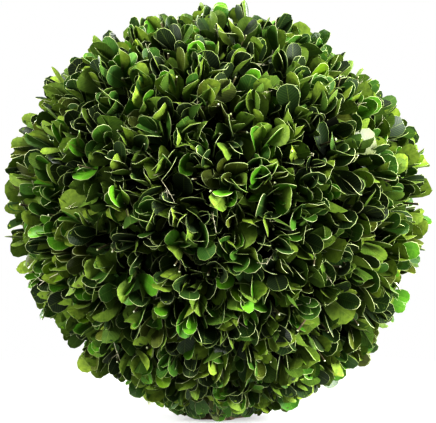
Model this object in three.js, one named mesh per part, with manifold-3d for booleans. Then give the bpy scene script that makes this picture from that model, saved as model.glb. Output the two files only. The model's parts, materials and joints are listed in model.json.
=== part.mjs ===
// Clipped box ball: a short flared stem standing on level ground, and one closed, uneven ball of
// clipped leaves round it. Millimetres, +Z up. The origin is the middle of the stem's flat cut,
// +X is to the right of a viewer who looks along +Y.
import * as THREE from "three";
import { mergeVertices } from "three/addons/utils/BufferGeometryUtils.js";
import Module from "manifold-3d";

// ---- The ball of leaves ----
const BALL_RADIUS = 146; // mean reach of the clipped surface, leaf tips left out
const LONG_STRETCH = 1.04; // the ball is longest along a slanted axis in the XZ plane
const SHORT_STRETCH = 0.965; // and shortest across it
const LONG_AXIS_DIP = 17; // degrees by which the long axis drops towards +X
const SLOW_SWELL = 2.2; // how far the shears wandered in and out over a hand's width
const GROUND_GAP = 1.5; // lowest sprig above the ground

// ---- The sprig ends that stand out of it ----
const SPRIG_COUNT = 400; // sprig ends spread over the surface
const SPRIG_RISE = 13; // tallest sprig end above the hollows between them
const SPRIG_LEAST = 0.2; // shortest sprig end, as a share of the tallest
const SPRIG_SPREAD = 8.8; // half angle of one domed sprig end, in degrees
const SPRIG_SCATTER = 0.055; // how far a sprig end sits off its even place, in radians
const SURFACE_DETAIL = 18; // splits of each icosahedron edge

// ---- The stem inside ----
const STEM_HEIGHT = 138; // from the flat cut to the blunt tip in the ball's middle
const STEM_RADIUS = 11; // just above the root flare
const STEM_TIP_RADIUS = 5.5;
const FLARE_WIDTH = 8; // extra radius where the flare meets the ground
const FLARE_HEIGHT = 13; // height over which the flare dies away
const FLARE_LOBES = 5; // buttress roots that run out of the flare
const FLARE_LOBE_DEPTH = 0.32; // lobe depth, as a share of the flare
const STEM_LEAN = 5; // degrees from upright
const LEAN_BEARING = -35; // degrees from +X
const STEM_BOW = 4; // sideways bow at mid height
const STEM_SIDES = 28;
const STEM_RINGS = 14;
const RING_CROWDING = 1.8; // above 1, rings crowd towards the foot
const SOCKET_GAP = 0.6; // air between the stem and the leaves round it

const SEED = 20417;

const wasm = await Module();
wasm.setup();

// A small seeded random source, so that every build gives the same ball.
function randomSource(seed) {
  let state = seed;
  return () => {
    state = (Math.imul(state, 1664525) + 1013904223) >>> 0;
    return state / 4294967296;
  };
}

// Moves every vertex of a geometry by a rule and leaves one shared vertex per place.
function reshape(geometry, rule) {
  const point = new THREE.Vector3();
  const places = geometry.attributes.position;
  for (let i = 0; i < places.count; i += 1) {
    point.fromBufferAttribute(places, i);
    rule(point);
    places.setXYZ(i, point.x, point.y, point.z);
  }
  geometry.deleteAttribute("normal");
  geometry.deleteAttribute("uv");
  return mergeVertices(geometry, 1e-4);
}

function toSolid(geometry) {
  const vertProperties = new Float32Array(geometry.attributes.position.array);
  const triVerts = new Uint32Array(geometry.index.array);
  return new wasm.Manifold(new wasm.Mesh({ numProp: 3, vertProperties, triVerts }));
}

function toGeometry(solid) {
  const mesh = solid.getMesh();
  const geometry = new THREE.BufferGeometry();
  geometry.setAttribute("position", new THREE.BufferAttribute(mesh.vertProperties, 3));
  geometry.setIndex(new THREE.BufferAttribute(mesh.triVerts, 1));
  return geometry;
}

// Even places over a sphere on a golden spiral, each pushed a little off its place, with the
// height of the sprig end that stands there.
function sprigEnds() {
  const random = randomSource(SEED);
  const goldenTurn = Math.PI * (3 - Math.sqrt(5));
  const ends = [];
  for (let i = 0; i < SPRIG_COUNT; i += 1) {
    const up = 1 - (2 * i + 1) / SPRIG_COUNT;
    const out = Math.sqrt(1 - up * up);
    const turn = i * goldenTurn;
    const direction = new THREE.Vector3(out * Math.cos(turn), out * Math.sin(turn), up);
    direction.x += SPRIG_SCATTER * (2 * random() - 1);
    direction.y += SPRIG_SCATTER * (2 * random() - 1);
    direction.z += SPRIG_SCATTER * (2 * random() - 1);
    direction.normalize();
    const share = SPRIG_LEAST + (1 - SPRIG_LEAST) * random();
    ends.push({ direction, rise: SPRIG_RISE * share });
  }
  return ends;
}

// The tallest of the domed sprig ends over a direction.
function sprigRise(direction, ends) {
  const spread = THREE.MathUtils.degToRad(SPRIG_SPREAD);
  let tallest = 0;
  for (const end of ends) {
    const offset = Math.acos(Math.min(1, direction.dot(end.direction))) / spread;
    tallest = Math.max(tallest, end.rise * (1 - offset * offset));
  }
  return tallest;
}

// Reach of the slanted ellipsoid that the shears followed, with its slow swells.
function clippedReach(direction) {
  const dip = THREE.MathUtils.degToRad(LONG_AXIS_DIP);
  const along = direction.x * Math.cos(dip) - direction.z * Math.sin(dip);
  const across = direction.x * Math.sin(dip) + direction.z * Math.cos(dip);
  const stretched = Math.hypot(along / LONG_STRETCH, across / SHORT_STRETCH, direction.y);
  const swell = Math.sin(5 * direction.x + 2) * Math.cos(4 * direction.y) + Math.sin(6 * direction.z);
  return BALL_RADIUS / stretched + 0.5 * SLOW_SWELL * swell;
}

function makeLeafBall() {
  const ends = sprigEnds();
  const ball = reshape(new THREE.IcosahedronGeometry(1, SURFACE_DETAIL), (point) => {
    point.normalize();
    const reach = clippedReach(point) + sprigRise(point, ends);
    point.multiplyScalar(reach);
  });
  ball.computeBoundingBox();
  ball.translate(0, 0, GROUND_GAP - ball.boundingBox.min.z);
  return ball;
}

// One tapering stem: a cylinder whose rings crowd towards the foot and widen into a lobed root
// flare, lean and bow. The grown copy, wider all round and longer at both ends, cuts the stem's
// socket out of the leaves.
function makeStem(growth) {
  const lean = Math.tan(THREE.MathUtils.degToRad(STEM_LEAN));
  const bearing = THREE.MathUtils.degToRad(LEAN_BEARING);
  const stock = new THREE.CylinderGeometry(1, 1, 1, STEM_SIDES, STEM_RINGS);
  stock.rotateX(Math.PI / 2);
  stock.translate(0, 0, 0.5);
  return reshape(stock, (point) => {
    const share = Math.max(0, point.z) ** RING_CROWDING;
    const height = STEM_HEIGHT * share;
    const angle = Math.atan2(point.y, point.x);
    const flare = FLARE_WIDTH * Math.exp(-height / FLARE_HEIGHT);
    const lobes = 1 + FLARE_LOBE_DEPTH * Math.cos(FLARE_LOBES * angle);
    const taper = THREE.MathUtils.lerp(STEM_RADIUS, STEM_TIP_RADIUS, share);
    const radius = (taper + flare * lobes + growth) * Math.hypot(point.x, point.y);
    const sideways = height * lean + STEM_BOW * Math.sin(Math.PI * share);
    const lengthened = growth * (2 * share - 1);
    point.x = radius * Math.cos(angle) + sideways * Math.cos(bearing);
    point.y = radius * Math.sin(angle) + sideways * Math.sin(bearing);
    point.z = share === 0 || share === 1 ? height + lengthened : height;
  });
}

function cutSocket(ball) {
  const leaves = toSolid(ball).subtract(toSolid(makeStem(SOCKET_GAP)));
  return toGeometry(leaves);
}

const leafGreen = new THREE.MeshStandardMaterial({ color: 0x41611c, roughness: 0.55, metalness: 0 });
const bark = new THREE.MeshStandardMaterial({ color: 0x7d6b4f, roughness: 0.9, metalness: 0 });

function named(name, geometry, material) {
  geometry.computeVertexNormals();
  const mesh = new THREE.Mesh(geometry, material);
  mesh.name = name;
  return mesh;
}

const boxBall = new THREE.Group();
boxBall.add(named("stem", makeStem(0), bark));
boxBall.add(named("leaf_ball", cutSocket(makeLeafBall()), leafGreen));

export default boxBall;
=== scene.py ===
# %% [markdown]
# # A clipped box ball
# Box is a dense evergreen shrub with small leathery leaves that stand in opposite pairs. Clipped
# into a ball it becomes a thick shell of leafy sprigs round a dark, twiggy middle. This lesson
# grows one from the inside out: a barked stem, boughs and twigs that fork towards the clipped
# surface, leaves in pairs along every sprig, and the small pale ends that the shears leave.

# %% Tools and the frame
import json
import math

import bpy
import numpy as np
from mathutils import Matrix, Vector, noise
from mathutils.bvhtree import BVHTree

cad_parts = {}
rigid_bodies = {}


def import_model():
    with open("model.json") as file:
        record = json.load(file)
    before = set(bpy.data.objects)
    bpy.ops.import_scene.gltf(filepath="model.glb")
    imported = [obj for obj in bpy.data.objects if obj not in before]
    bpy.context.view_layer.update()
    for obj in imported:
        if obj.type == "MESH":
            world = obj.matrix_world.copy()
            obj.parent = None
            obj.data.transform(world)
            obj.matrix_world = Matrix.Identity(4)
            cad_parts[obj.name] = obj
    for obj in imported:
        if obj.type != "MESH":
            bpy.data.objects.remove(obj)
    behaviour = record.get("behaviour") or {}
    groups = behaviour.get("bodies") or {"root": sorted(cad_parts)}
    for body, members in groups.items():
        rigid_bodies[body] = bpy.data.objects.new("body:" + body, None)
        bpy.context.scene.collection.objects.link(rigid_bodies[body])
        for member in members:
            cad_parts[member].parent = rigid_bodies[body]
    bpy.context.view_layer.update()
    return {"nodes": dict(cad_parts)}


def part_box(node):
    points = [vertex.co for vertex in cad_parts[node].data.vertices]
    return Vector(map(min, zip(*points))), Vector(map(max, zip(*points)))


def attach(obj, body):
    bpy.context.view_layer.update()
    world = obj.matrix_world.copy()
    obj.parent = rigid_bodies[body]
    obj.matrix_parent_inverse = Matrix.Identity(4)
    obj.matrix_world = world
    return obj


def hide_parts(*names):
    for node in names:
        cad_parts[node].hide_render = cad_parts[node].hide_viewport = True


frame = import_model()
MM = 0.001
rng = np.random.default_rng(7431)
print("frame nodes:", sorted(frame["nodes"]))

# %% [markdown]
# ## Measuring the ball
# The frame holds two plain solids: the stem, standing on the ground, and the ball of leaves with
# all its swells and hollows. Everything below is placed from them. A true sphere could stand in
# for the clipped surface, but no real ball is one, so a bounding volume tree answers "where is
# the surface in this direction?" and the sprigs can end exactly there.

# %% The two surfaces of the frame
ball_low, ball_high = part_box("leaf_ball")
stem_low, stem_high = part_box("stem")
ball_middle = (ball_low + ball_high) / 2
ball_radius = (ball_high.x - ball_low.x) / 2
middle = np.array(ball_middle)


def surface_tree(node):
    """A search tree over the faces of one node of the frame."""
    mesh = frame["nodes"][node].data
    corners = [vertex.co for vertex in mesh.vertices]
    return BVHTree.FromPolygons(corners, [tuple(face.vertices) for face in mesh.polygons])


ball_surface = surface_tree("leaf_ball")
stem_surface = surface_tree("stem")


def surface_point(direction):
    """Where the clipped surface is met on the way in from outside, towards the ball's middle."""
    outwards = Vector(direction).normalized()
    start = ball_middle + outwards * 2 * ball_radius
    return ball_surface.ray_cast(start, -outwards)[0]


print("ball middle", [round(x, 4) for x in ball_middle], "half width", round(ball_radius, 4))

# %% [markdown]
# ## Where the sprigs end
# Sprigs could be dealt out by random draws alone, but those leave bald patches and clumps. A
# golden spiral spreads any number of directions evenly over a sphere, and a seeded scatter takes
# away the pattern, as no hedge grows on a grid. The same rule, with fewer directions, gives the
# places where boughs and twigs fork. Where the ball meets the ground a skirt of extra sprigs is
# added, because there a real one keeps its lowest leaves pressed down round the stem.

# %% Directions over the ball
SPRIG_COUNT = 940
SPRIG_SCATTER = 0.05
SKIRT_COUNT = 80
SKIRT_ANGLES = (math.radians(8), math.radians(24))
SKIRT_TURN_SCATTER = 0.2


def unit(vectors):
    """The same vectors, one long."""
    return vectors / np.linalg.norm(vectors, axis=-1, keepdims=True)


def spread_directions(count, scatter):
    """Even directions on a golden spiral, each pushed a little off its place."""
    step = np.arange(count)
    up = 1 - (2 * step + 1) / count
    out = np.sqrt(1 - up**2)
    turn = step * math.pi * (3 - math.sqrt(5))
    even = np.stack([out * np.cos(turn), out * np.sin(turn), up], axis=1)
    return unit(even + scatter * rng.uniform(-1, 1, (count, 3)))


def skirt_directions(count, angles):
    """Directions round the foot, at angles from straight down."""
    turn = np.linspace(0, math.tau, count, endpoint=False)
    turn += rng.uniform(0, SKIRT_TURN_SCATTER, count)
    away = rng.uniform(*angles, count)
    sideways = np.sin(away)
    return np.stack([sideways * np.cos(turn), sideways * np.sin(turn), -np.cos(away)], axis=1)


sprig_ways = np.concatenate(
    [spread_directions(SPRIG_COUNT, SPRIG_SCATTER), skirt_directions(SKIRT_COUNT, SKIRT_ANGLES)]
)
sprig_total = len(sprig_ways)
sprig_surface = np.array([surface_point(way) for way in sprig_ways])
sprig_reach = np.linalg.norm(sprig_surface - middle, axis=1)
print(sprig_total, "sprigs, reach", round(sprig_reach.min(), 4), "to", round(sprig_reach.max(), 4))

# %% [markdown]
# ## The branching rule
# A clipped shrub forks and forks again, because each cut makes the shoots below it branch. It
# could be grown outwards, bud by bud, but then nobody knows where it ends. Here it is worked out
# backwards from the sprigs: three rings of forks lie between them and the stem, each sprig hangs
# on the nearest fork of the ring below it, and each fork on the nearest one below that. How thick
# a limb is follows from how many sprigs it feeds.

# %% Forks between stem and sprigs
FORK_COUNTS = (10, 52, 240)
FORK_DEPTHS = (0.36, 0.56, 0.73)
FORK_SCATTER = 0.10
FORK_REACH = (0.9, 1.1)
SPRIG_TWIG_RADIUS = 0.55 * MM
THICKENING = 2.35


def nearest(children, parents):
    """For each child direction, the number of the parent direction closest to it."""
    return np.argmax(children @ parents.T, axis=1)


fork_ways = [spread_directions(count, FORK_SCATTER) for count in FORK_COUNTS]
fork_places = []
for ways, depth in zip(fork_ways, FORK_DEPTHS):
    reach = depth * ball_radius * rng.uniform(*FORK_REACH, (len(ways), 1))
    fork_places.append(middle + ways * reach)
sprig_parent = nearest(sprig_ways, fork_ways[2])
twig_parent = nearest(fork_ways[2], fork_ways[1])
bough_parent = nearest(fork_ways[1], fork_ways[0])

sprigs_fed = [None, None, np.bincount(sprig_parent, minlength=FORK_COUNTS[2])]
sprigs_fed[1] = np.bincount(twig_parent, sprigs_fed[2], FORK_COUNTS[1])
sprigs_fed[0] = np.bincount(bough_parent, sprigs_fed[1], FORK_COUNTS[0])
limb_radius = [SPRIG_TWIG_RADIUS * np.maximum(fed, 1) ** (1 / THICKENING) for fed in sprigs_fed]
print("bough radii in mm:", [round(r / MM, 1) for r in limb_radius[0]])

# %% [markdown]
# ## Limbs as bent lines
# A limb leaves its parent in the parent's own direction and bends towards its fork. Straight
# lines would meet at hard corners; a curve with one pull point bends with three places only. The
# boughs start on the stem's middle line, which is measured from slices of the frame's stem.

# %% Lines for boughs and twigs
LIMB_STEPS = 5
BOUGH_LOWEST = 0.42
BOUGH_HIGHEST = 0.97
BOUGH_LIFT = 0.12
TWIG_PULL = 0.5
BOUGH_SWELL = 1.35
TWIG_SWELL = 1.15
SLICE_SHARE = 0.08
stem_height = stem_high.z - stem_low.z
stem_points = np.array([vertex.co for vertex in frame["nodes"]["stem"].data.vertices])


def bent_line(start, pull, end, steps=LIMB_STEPS):
    """Points along a curve that leaves start towards pull and arrives at end."""
    share = np.linspace(0, 1, steps + 1)[:, None]
    return (1 - share) ** 2 * start + 2 * share * (1 - share) * pull + share**2 * end


def stem_centre(height):
    """The middle of the stem at a height, from a slice of the frame's stem."""
    slab = stem_points[np.abs(stem_points[:, 2] - height) < SLICE_SHARE * stem_height]
    return np.array([slab[:, 0].mean(), slab[:, 1].mean(), height])


bough_lines = []
for number, way in enumerate(fork_ways[0]):
    share = BOUGH_LOWEST + (BOUGH_HIGHEST - BOUGH_LOWEST) * (way[2] + 1) / 2
    foot = stem_centre(share * stem_height)
    end = fork_places[0][number]
    pull = (foot + end) / 2 + np.array([0, 0, BOUGH_LIFT * ball_radius])
    thick = limb_radius[0][number]
    bough_lines.append((bent_line(foot, pull, end), BOUGH_SWELL * thick, thick))


def fork_lines(level, parents):
    """The lines from one ring of forks to the next."""
    lines = []
    for number, parent in enumerate(parents):
        start = fork_places[level - 1][parent]
        end = fork_places[level][number]
        pull = start + fork_ways[level - 1][parent] * TWIG_PULL * np.linalg.norm(end - start)
        thick = limb_radius[level][number]
        lines.append((bent_line(start, pull, end), TWIG_SWELL * thick, thick))
    return lines


bough_lines += fork_lines(1, bough_parent)
twig_lines = fork_lines(2, twig_parent)
print(len(bough_lines), "boughs and", len(twig_lines), "twigs")

# %% [markdown]
# ## Sprigs
# A sprig is the last hand's breadth of shoot that carries the living leaves. Leaves could be
# scattered on the surface without any sprigs, but it is the tufts that show. A sprig bends from
# the direction of its fork to stand more or less square to the clipped surface, and it ends a
# leaf's length or so short of it, because the leaves reach past its end. The uneven depths leave
# the dark hollows between sprigs that make a clipped ball look deep.

# %% Sprig shoots
SHOOT_SHORTFALL = (16 * MM, 36 * MM)
LOWEST_WAY = -0.72
PRESSED_SHORTFALL = (14 * MM, 23 * MM)
SKIRT_SHORTFALL = (11 * MM, 19 * MM)
LOWEST_SHOOT_END = 13 * MM
SPRIG_TILT = 0.18
SHOOT_PULL = 0.6
SHOOT_TAPER = (1.3, 0.8)

sprig_shortfall = rng.uniform(*SHOOT_SHORTFALL, sprig_total)
pressed = sprig_ways[:, 2] < LOWEST_WAY
sprig_shortfall[pressed] = rng.uniform(*PRESSED_SHORTFALL, pressed.sum())
sprig_shortfall[SPRIG_COUNT:] = rng.uniform(*SKIRT_SHORTFALL, SKIRT_COUNT)
sprig_ends = sprig_surface - sprig_ways * sprig_shortfall[:, None]
sprig_ends[:, 2] = np.maximum(sprig_ends[:, 2], LOWEST_SHOOT_END)
sprig_lean = unit(sprig_ways + SPRIG_TILT * rng.normal(0, 1, (sprig_total, 3)))
foot_taper, end_taper = (share * SPRIG_TWIG_RADIUS for share in SHOOT_TAPER)
shoot_lines = []
for number, parent in enumerate(sprig_parent):
    start = fork_places[2][parent]
    end = sprig_ends[number]
    pull = end - sprig_lean[number] * SHOOT_PULL * np.linalg.norm(end - start)
    shoot_lines.append((bent_line(start, pull, end), foot_taper, end_taper))
longest = max(np.linalg.norm(line[0][-1] - line[0][0]) for line in shoot_lines)
print("longest shoot", round(longest / MM), "mm")

# %% [markdown]
# ## Node helpers
# Every tree and material below could be wired up by hand in Blender's editors; built in code it
# can be made again and changed in one place. These helpers keep that short: one adds a node and
# fills its sockets, one declares a named input on a tree, one reads a stored attribute, and one
# mixes two colours.

# %% Adding nodes and sockets
def add_node(tree, kind, inputs=(), **settings):
    """A node of a kind, with its settings and with its inputs set or linked by name or number."""
    node = tree.nodes.new(kind)
    for name, value in settings.items():
        setattr(node, name, value)
    for key, value in dict(inputs).items():
        if isinstance(value, bpy.types.NodeSocket):
            tree.links.new(value, node.inputs[key])
        else:
            node.inputs[key].default_value = value
    return node


def maths(tree, operation, *values):
    """The result of a sum, product or other operation on numbers or sockets."""
    node = add_node(tree, "ShaderNodeMath", dict(enumerate(values)), operation=operation)
    return node.outputs[0]


def vector_maths(tree, operation, inputs):
    """The same for vectors, with the inputs by number or name."""
    return add_node(tree, "ShaderNodeVectorMath", inputs, operation=operation).outputs[0]


def stretched(tree, value, low, high, new_low, new_high):
    """A value moved from one range to another, and held inside it."""
    limits = {"From Min": low, "From Max": high, "To Min": new_low, "To Max": new_high}
    return add_node(tree, "ShaderNodeMapRange", {"Value": value, **limits}).outputs[0]


def mixed(tree, share, first, second):
    """The colour between two colours at a share."""
    inputs = {"Factor": share, 6: first, 7: second}
    return add_node(tree, "ShaderNodeMix", inputs, data_type="RGBA").outputs[2]


print("sums, ranges and mixes can be added to a tree")

# %% A tree's inputs and results
def tree_input(tree, name, kind, value=None):
    """A named input of a tree, with its default."""
    socket = tree.interface.new_socket(name, in_out="INPUT", socket_type=kind)
    if value is not None:
        socket.default_value = value
    return socket


def give_out(tree, kind, results):
    """Links each result to an output socket of its own name."""
    for name in results:
        tree.interface.new_socket(name, in_out="OUTPUT", socket_type=kind)
    leaving = add_node(tree, "NodeGroupOutput")
    for name, result in results.items():
        tree.links.new(result, leaving.inputs[name])


print("a tree's inputs and results can be named")

# %% Stored values and random draws
def stored(tree, name, kind):
    """The output that reads an attribute."""
    node = add_node(tree, "GeometryNodeInputNamedAttribute", {"Name": name}, data_type=kind)
    return node.outputs["Attribute"]


def store(tree, geometry, name, value, kind, domain):
    """The geometry with a value stored on it as an attribute."""
    inputs = {"Geometry": geometry, "Name": name, "Value": value}
    settings = dict(data_type=kind, domain=domain)
    return add_node(tree, "GeometryNodeStoreNamedAttribute", inputs, **settings).outputs[0]


def drawn(tree, kind, lowest, highest, seed):
    """A seeded random number for each point: a fraction or a whole number."""
    first = 2 if kind == "FLOAT" else 4
    inputs = {first: lowest, first + 1: highest, "Seed": seed}
    node = add_node(tree, "FunctionNodeRandomValue", inputs, data_type=kind)
    return node.outputs[1 if kind == "FLOAT" else 2]


print("node helpers are ready")

# %% [markdown]
# ## Staying above the ground
# The lowest leaves and shoots lie close to the ground, and a real one stops them. Sorting out
# every leaf that dips under it would thin the foot. Instead the trees end with a step that lifts
# any point below the ground to a hair above it, which bends only the tips concerned.

# %% Lifting what lies too low
GROUND_RISE = 0.3 * MM


def kept_above_ground(tree, geometry):
    """Lifts each point that would lie below the ground to just above it."""
    place = add_node(tree, "GeometryNodeInputPosition").outputs[0]
    parts = add_node(tree, "ShaderNodeSeparateXYZ", {0: place}).outputs
    rise = maths(tree, "MAXIMUM", parts["Z"], GROUND_RISE)
    lifted = {"X": parts["X"], "Y": parts["Y"], "Z": rise}
    lifted = add_node(tree, "ShaderNodeCombineXYZ", lifted).outputs[0]
    moved = {"Geometry": geometry, "Position": lifted}
    return add_node(tree, "GeometryNodeSetPosition", moved).outputs[0]


print("every point is kept", GROUND_RISE / MM, "mm or more above the ground")

# %% [markdown]
# ## From a seedling mesh to a finished piece
# Limbs, leaves and buds all start as a seedling: a mesh of bare lines or loose points that says
# where each one goes. The tree could stay live on it, but instances are lost when the scene is
# saved for other programs. So the tree is run once, its result is kept as a plain mesh and the
# seedling is thrown away.

# %% Running a tree and keeping its result
def set_input(modifier, name, value):
    """Fills a modifier's input by its socket's identifier, found from its name."""
    for item in modifier.node_group.interface.items_tree:
        if item.item_type == "SOCKET" and item.in_out == "INPUT" and item.name == name:
            modifier[item.identifier] = value
            return
    raise KeyError(name)


def scene_object(name, data):
    """An object for a mesh, a lamp or a camera, in the scene."""
    item = bpy.data.objects.new(name, data)
    bpy.context.scene.collection.objects.link(item)
    return item


def grown_piece(name, seedling_mesh, tree, inputs):
    """Runs a tree on a mesh and keeps the result as a plain mesh object."""
    seedling = scene_object(name + "_seedling", seedling_mesh)
    modifier = seedling.modifiers.new("grow", "NODES")
    modifier.node_group = tree
    for key, value in inputs.items():
        set_input(modifier, key, value)
    seen = seedling.evaluated_get(bpy.context.evaluated_depsgraph_get())
    mesh = bpy.data.meshes.new_from_object(seen)
    mesh.name = name
    bpy.data.objects.remove(seedling)
    bpy.data.meshes.remove(seedling_mesh)
    return shown_piece(mesh)


def shown_piece(mesh):
    """An object for a mesh, with its triangles counted."""
    piece = scene_object(mesh.name, mesh)
    corners = np.empty(len(mesh.polygons), np.int32)
    mesh.polygons.foreach_get("loop_total", corners)
    print(mesh.name, len(corners), "faces,", int((corners - 2).sum()), "triangles")
    return piece


print("a grown piece is kept as one plain mesh")

# %% Seedlings for a tree
def line_mesh(name, lines):
    """Bent lines with a thickness stored on every point."""
    places, edges, thickness = [], [], []
    for points, foot_radius, end_radius in lines:
        first = len(places)
        places.extend(tuple(point) for point in points)
        edges.extend((first + i, first + i + 1) for i in range(len(points) - 1))
        thickness.extend(np.linspace(foot_radius, end_radius, len(points)))
    mesh = bpy.data.meshes.new(name)
    mesh.from_pydata(places, edges, [])
    mesh.attributes.new("thickness", "FLOAT", "POINT").data.foreach_set("value", thickness)
    return mesh


def point_cloud(name, places, along, facing, length):
    """Loose points, each with a direction, a facing and a length stored on it."""
    mesh = bpy.data.meshes.new(name)
    mesh.from_pydata([tuple(place) for place in places], [], [])
    for key, vectors in (("along", along), ("facing", facing)):
        numbers = np.asarray(vectors, np.float32).ravel()
        mesh.attributes.new(key, "FLOAT_VECTOR", "POINT").data.foreach_set("vector", numbers)
    numbers = np.asarray(length, np.float32)
    mesh.attributes.new("length", "FLOAT", "POINT").data.foreach_set("value", numbers)
    return mesh


print("seedlings can be grown from lines or points")

# %% [markdown]
# ## Colours and blank materials
# A shader wants light as it adds up, not as it looks on a screen. The colours below are written
# as they look, because those are the numbers that a colour picker shows, and turned into linear
# ones by a function.

# %% Turning colours and starting materials
def linear(red, green, blue):
    """A colour given as it looks on a screen, out of 255, as the linear one a shader wants."""
    parts = [channel / 255 for channel in (red, green, blue)]
    parts = [p / 12.92 if p <= 0.04045 else ((p + 0.055) / 1.055) ** 2.4 for p in parts]
    return (*parts, 1.0)


def darker(colour, share):
    """The same colour with less light in it."""
    return (*(share * channel for channel in colour[:3]), 1.0)


def blank_material(name):
    """A material, its node tree and its shader."""
    material = bpy.data.materials.new(name)
    material.use_nodes = True
    return material, material.node_tree, material.node_tree.nodes["Principled BSDF"]


def add_bump(tree, shader, height, strength, distance):
    """Lets a height that changes over the surface tilt its normals."""
    relief = {"Height": height, "Strength": strength, "Distance": distance}
    normal = add_node(tree, "ShaderNodeBump", relief).outputs[0]
    tree.links.new(normal, shader.inputs["Normal"])


print("a mid green in linear light:", [round(part, 3) for part in linear(52, 94, 28)])

# %% [markdown]
# ## Bark
# Old box wood has a corky, yellow-grey bark cut up by long shallow furrows; young twigs are
# smoother and greener. A picture of bark wrapped round each limb would smear and show its seam,
# so one node group makes it from Object coordinates: a ridge value from a noise that can be drawn
# out along the stem, and a patchy value for the pale lichen. The ridge also feeds a bump, on top
# of the real furrows that the meshes below have.

# %% The bark pattern
def bark_pattern_group():
    """Ridges and patches that change through space."""
    group = bpy.data.node_groups.new("Bark pattern", "ShaderNodeTree")
    tree_input(group, "Ridge Scale", "NodeSocketFloat", 260.0)
    tree_input(group, "Drawn Out", "NodeSocketFloat", 0.3)
    tree_input(group, "Patch Scale", "NodeSocketFloat", 60.0)
    given = add_node(group, "NodeGroupInput").outputs
    place = add_node(group, "ShaderNodeTexCoord").outputs["Object"]
    squeeze = add_node(group, "ShaderNodeCombineXYZ", {"X": 1.0, "Y": 1.0, "Z": given["Drawn Out"]})
    along = vector_maths(group, "MULTIPLY", {0: place, 1: squeeze.outputs[0]})
    ridges = {"Vector": along, "Scale": given["Ridge Scale"], "Detail": 4.0, "Roughness": 0.6}
    ridge = add_node(group, "ShaderNodeTexNoise", ridges).outputs[0]
    patches = {"Vector": place, "Scale": given["Patch Scale"], "Detail": 2.0}
    patch = add_node(group, "ShaderNodeTexNoise", patches).outputs[0]
    give_out(group, "NodeSocketFloat", {"Ridge": ridge, "Patch": patch})
    return group


bark_pattern = bark_pattern_group()
print("bark pattern has", len(bark_pattern.nodes), "nodes")

# %% Bark finishes
BARK_BUMP_DISTANCE = 0.6 * MM
BARK_ROUGHNESS = 0.85
RIDGE_REACH = (0.35, 0.65)
PATCH_REACH = (0.55, 0.70)
PATCH_SHARE = 0.5
BARKS = {
    # name: colour of furrows, crests and patches, how far ridges are drawn out, bump
    "bark_old": ((52, 42, 30), (134, 118, 90), (150, 152, 122), 0.3, 0.8),
    "bark_twig": ((58, 50, 32), (112, 104, 68), (120, 126, 80), 1.0, 0.4),
    "bark_shoot": ((104, 116, 52), (160, 170, 98), (190, 190, 140), 1.0, 0.3),
    "bare_wood": ((150, 146, 112), (214, 210, 182), (236, 232, 210), 1.0, 0.3),
}


def bark_material(name, furrow, crest, patch_colour, drawn_out, bump):
    """Dark furrows, lighter crests and pale patches, with a fine bump."""
    material, tree, shader = blank_material(name)
    pattern = add_node(tree, "ShaderNodeGroup", node_tree=bark_pattern)
    pattern.inputs["Drawn Out"].default_value = drawn_out
    seen = pattern.outputs
    ridge = stretched(tree, seen["Ridge"], *RIDGE_REACH, 0.0, 1.0)
    patch = stretched(tree, seen["Patch"], *PATCH_REACH, 0.0, PATCH_SHARE)
    wood = mixed(tree, ridge, linear(*furrow), linear(*crest))
    wood = mixed(tree, patch, wood, linear(*patch_colour))
    tree.links.new(wood, shader.inputs["Base Color"])
    add_bump(tree, shader, seen["Ridge"], bump, BARK_BUMP_DISTANCE)
    shader.inputs["Roughness"].default_value = BARK_ROUGHNESS
    return material


barks = {name: bark_material(name, *finish) for name, finish in BARKS.items()}
print("bark finishes:", list(barks))

# %% [markdown]
# ## The stem
# The stem is a short, flared post of corky wood. It could be the frame's smooth post with a bump,
# but a bump doesn't change an edge. So the one that shows is laid over the post as a grid of
# rings: each point is found by a ray from outside onto the post, then sunk by furrows that run up
# the stem and wander with its height. It is real relief, so it is still there in the plain mesh,
# and it never leaves the post's own size.

# %% How deep the bark is sunk
STEM_SIDES = 84
FURROWS_AROUND = 9.0
FURROW_DEPTH = 1.3 * MM
FURROW_STRETCH = 26.0
FURROW_FINENESS = 2.2
FURROW_STEEPNESS = 2.4
CRACK_STRETCH = 160.0
CRACK_FINENESS = 7
CRACK_SHARE = 0.25


def furrow_depth(angle, height):
    """How deep the bark is sunk at a place: long furrows, broken by finer cracks."""
    around = Vector((math.cos(angle), math.sin(angle), 0)) * FURROWS_AROUND / math.tau
    long_furrow = noise.noise(around * FURROW_FINENESS + Vector((0, 0, height * FURROW_STRETCH)))
    fine_crack = noise.noise(around * CRACK_FINENESS + Vector((0, 0, height * CRACK_STRETCH)))
    ridge = 1 - min(1.0, abs(FURROW_STEEPNESS * long_furrow))
    return FURROW_DEPTH * ((1 - CRACK_SHARE) * ridge**2 + CRACK_SHARE * abs(fine_crack))


turns = [math.tau * side / STEM_SIDES for side in range(STEM_SIDES)]
depths = [furrow_depth(turn, stem_high.z / 2) / MM for turn in turns]
print("furrows halfway up, in mm:", round(min(depths), 2), "to", round(max(depths), 2))

# %% A furrowed stem
STEM_RINGS = 90
RINGS_TO_FOOT = 1.3
TOP_DOME = 0.5 * MM
FOOT_LOOK = 0.05 * MM


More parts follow.
